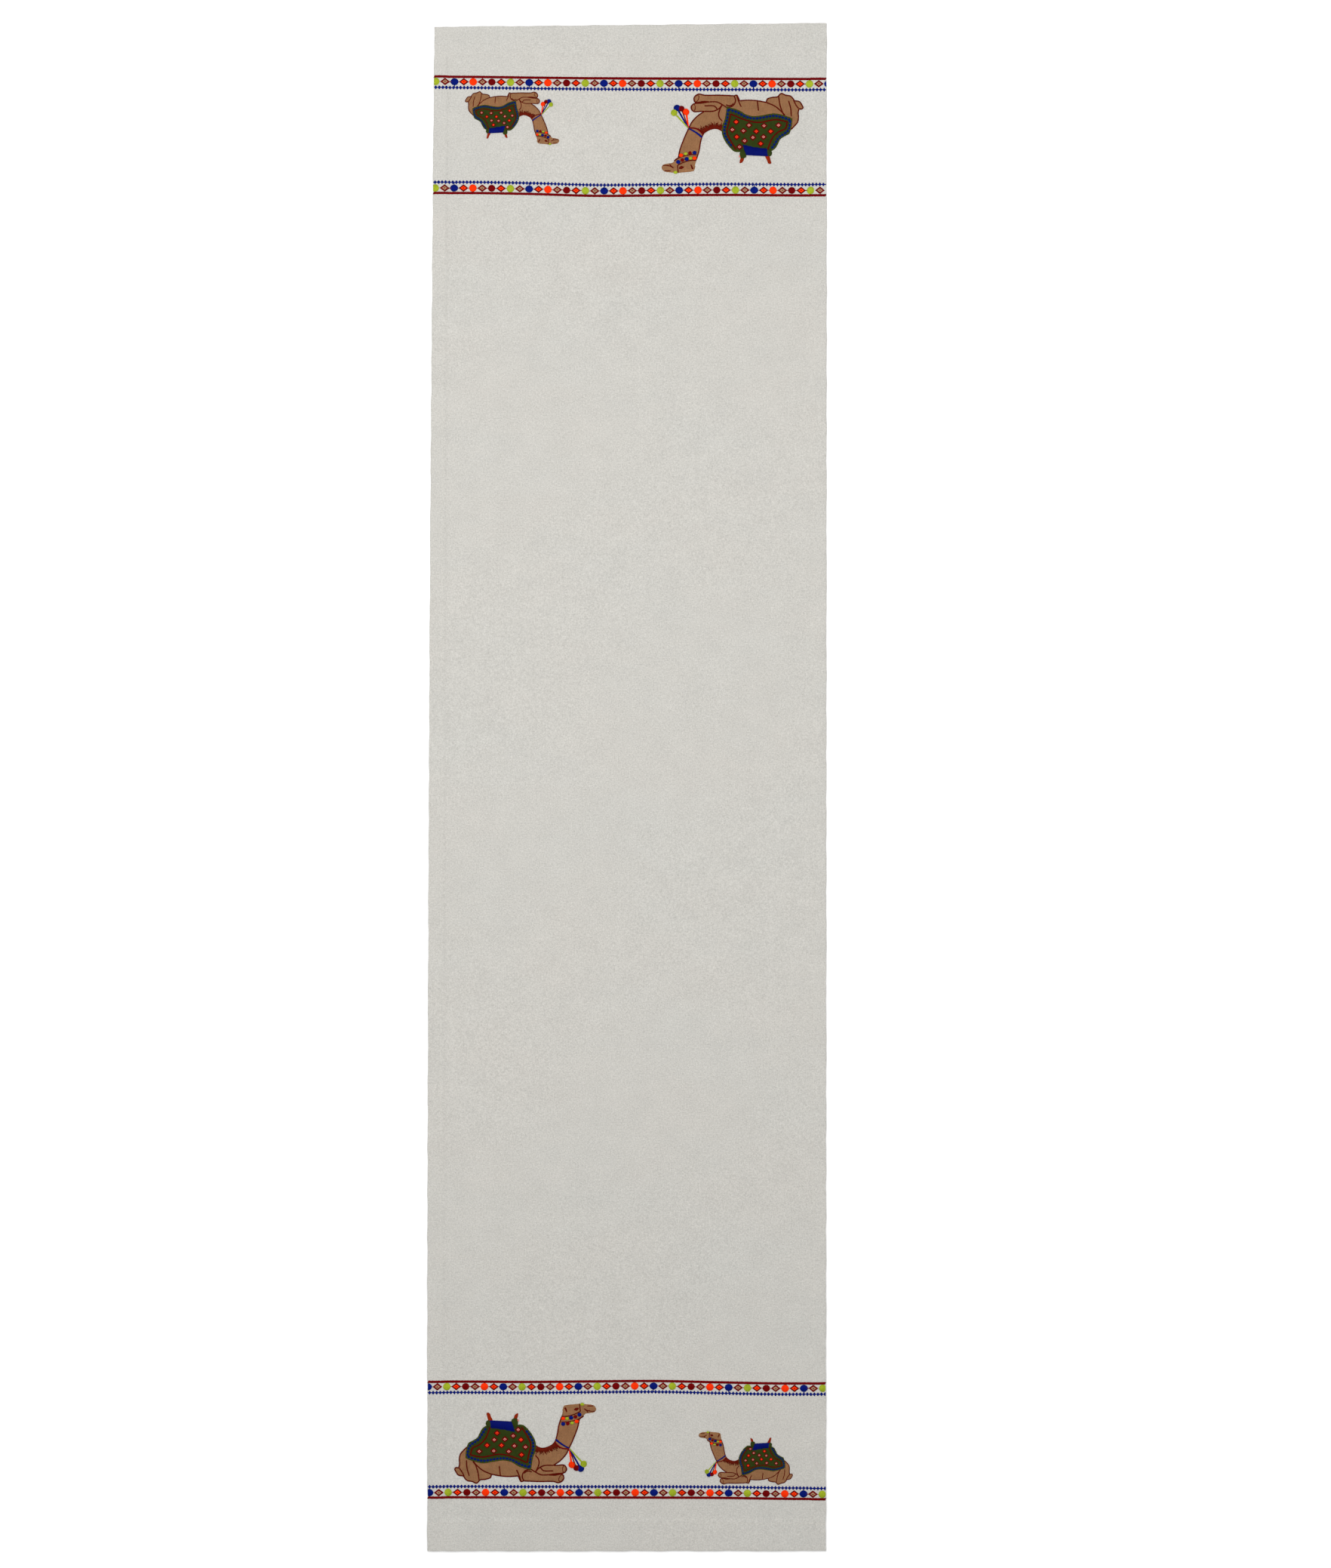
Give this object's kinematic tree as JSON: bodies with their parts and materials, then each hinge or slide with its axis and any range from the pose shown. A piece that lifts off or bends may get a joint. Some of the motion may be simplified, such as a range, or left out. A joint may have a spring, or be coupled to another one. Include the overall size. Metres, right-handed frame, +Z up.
{
  "type": "table runner",
  "caption": "Long plain-weave cotton table runner with folded hems and, at each end, embroidered borders and resting camels.",
  "frame": {"origin": "middle of the underside, on the surface that the runner lies on", "axes": "+X across the runner, +Y along it towards the far end, +Z up through the cloth"},
  "size_m": [0.3556, 1.3716, 0.0023],
  "materials": {
    "cotton_cloth": "matte plain weave",
    "sewing_thread": "matte spun thread",
    "red_thread": "satin stitch",
    "dot_threads": "satin stitch, five thread colours",
    "navy_thread": "satin stitch",
    "tan_thread": "fill stitch",
    "rust_thread": "satin stitch",
    "green_thread": "fill stitch",
    "trim_threads": "satin stitch, blue chain beside a maroon line",
    "royal_blue_thread": "satin stitch",
    "horn_thread": "satin stitch",
    "tassel_threads": "satin stitch, five thread colours",
    "halter_threads": "satin stitch, with beads in four thread colours"
  },
  "bodies": {
    "root": {"cloth_panel": "cotton_cloth", "end_hem_far": "cotton_cloth", "end_hem_near": "cotton_cloth", "end_seam_far": "sewing_thread", "end_seam_near": "sewing_thread", "far_inner_chain": "navy_thread", "far_inner_dots": "dot_threads", "far_inner_line": "red_thread", "far_large_camel_blanket": "green_thread", "far_large_camel_blanket_trim": "trim_threads", "far_large_camel_body": "tan_thread", "far_large_camel_collar": "tassel_threads", "far_large_camel_halter": "halter_threads", "far_large_camel_mane": "rust_thread", "far_large_camel_outline": "rust_thread", "far_large_camel_saddle_horns": "horn_thread", "far_large_camel_saddle_pad": "royal_blue_thread", "far_outer_chain": "navy_thread", "far_outer_dots": "dot_threads", "far_outer_line": "red_thread", "far_small_camel_blanket": "green_thread", "far_small_camel_blanket_trim": "trim_threads", "far_small_camel_body": "tan_thread", "far_small_camel_collar": "tassel_threads", "far_small_camel_halter": "halter_threads", "far_small_camel_mane": "rust_thread", "far_small_camel_outline": "rust_thread", "far_small_camel_saddle_horns": "horn_thread", "far_small_camel_saddle_pad": "royal_blue_thread", "near_inner_chain": "navy_thread", "near_inner_dots": "dot_threads", "near_inner_line": "red_thread", "near_large_camel_blanket": "green_thread", "near_large_camel_blanket_trim": "trim_threads", "near_large_camel_body": "tan_thread", "near_large_camel_collar": "tassel_threads", "near_large_camel_halter": "halter_threads", "near_large_camel_mane": "rust_thread", "near_large_camel_outline": "rust_thread", "near_large_camel_saddle_horns": "horn_thread", "near_large_camel_saddle_pad": "royal_blue_thread", "near_outer_chain": "navy_thread", "near_outer_dots": "dot_threads", "near_outer_line": "red_thread", "near_small_camel_blanket": "green_thread", "near_small_camel_blanket_trim": "trim_threads", "near_small_camel_body": "tan_thread", "near_small_camel_collar": "tassel_threads", "near_small_camel_halter": "halter_threads", "near_small_camel_mane": "rust_thread", "near_small_camel_outline": "rust_thread", "near_small_camel_saddle_horns": "horn_thread", "near_small_camel_saddle_pad": "royal_blue_thread", "side_hem_left": "cotton_cloth", "side_hem_right": "cotton_cloth", "side_seam_left": "sewing_thread", "side_seam_right": "sewing_thread"}
  },
  "joints": []
}
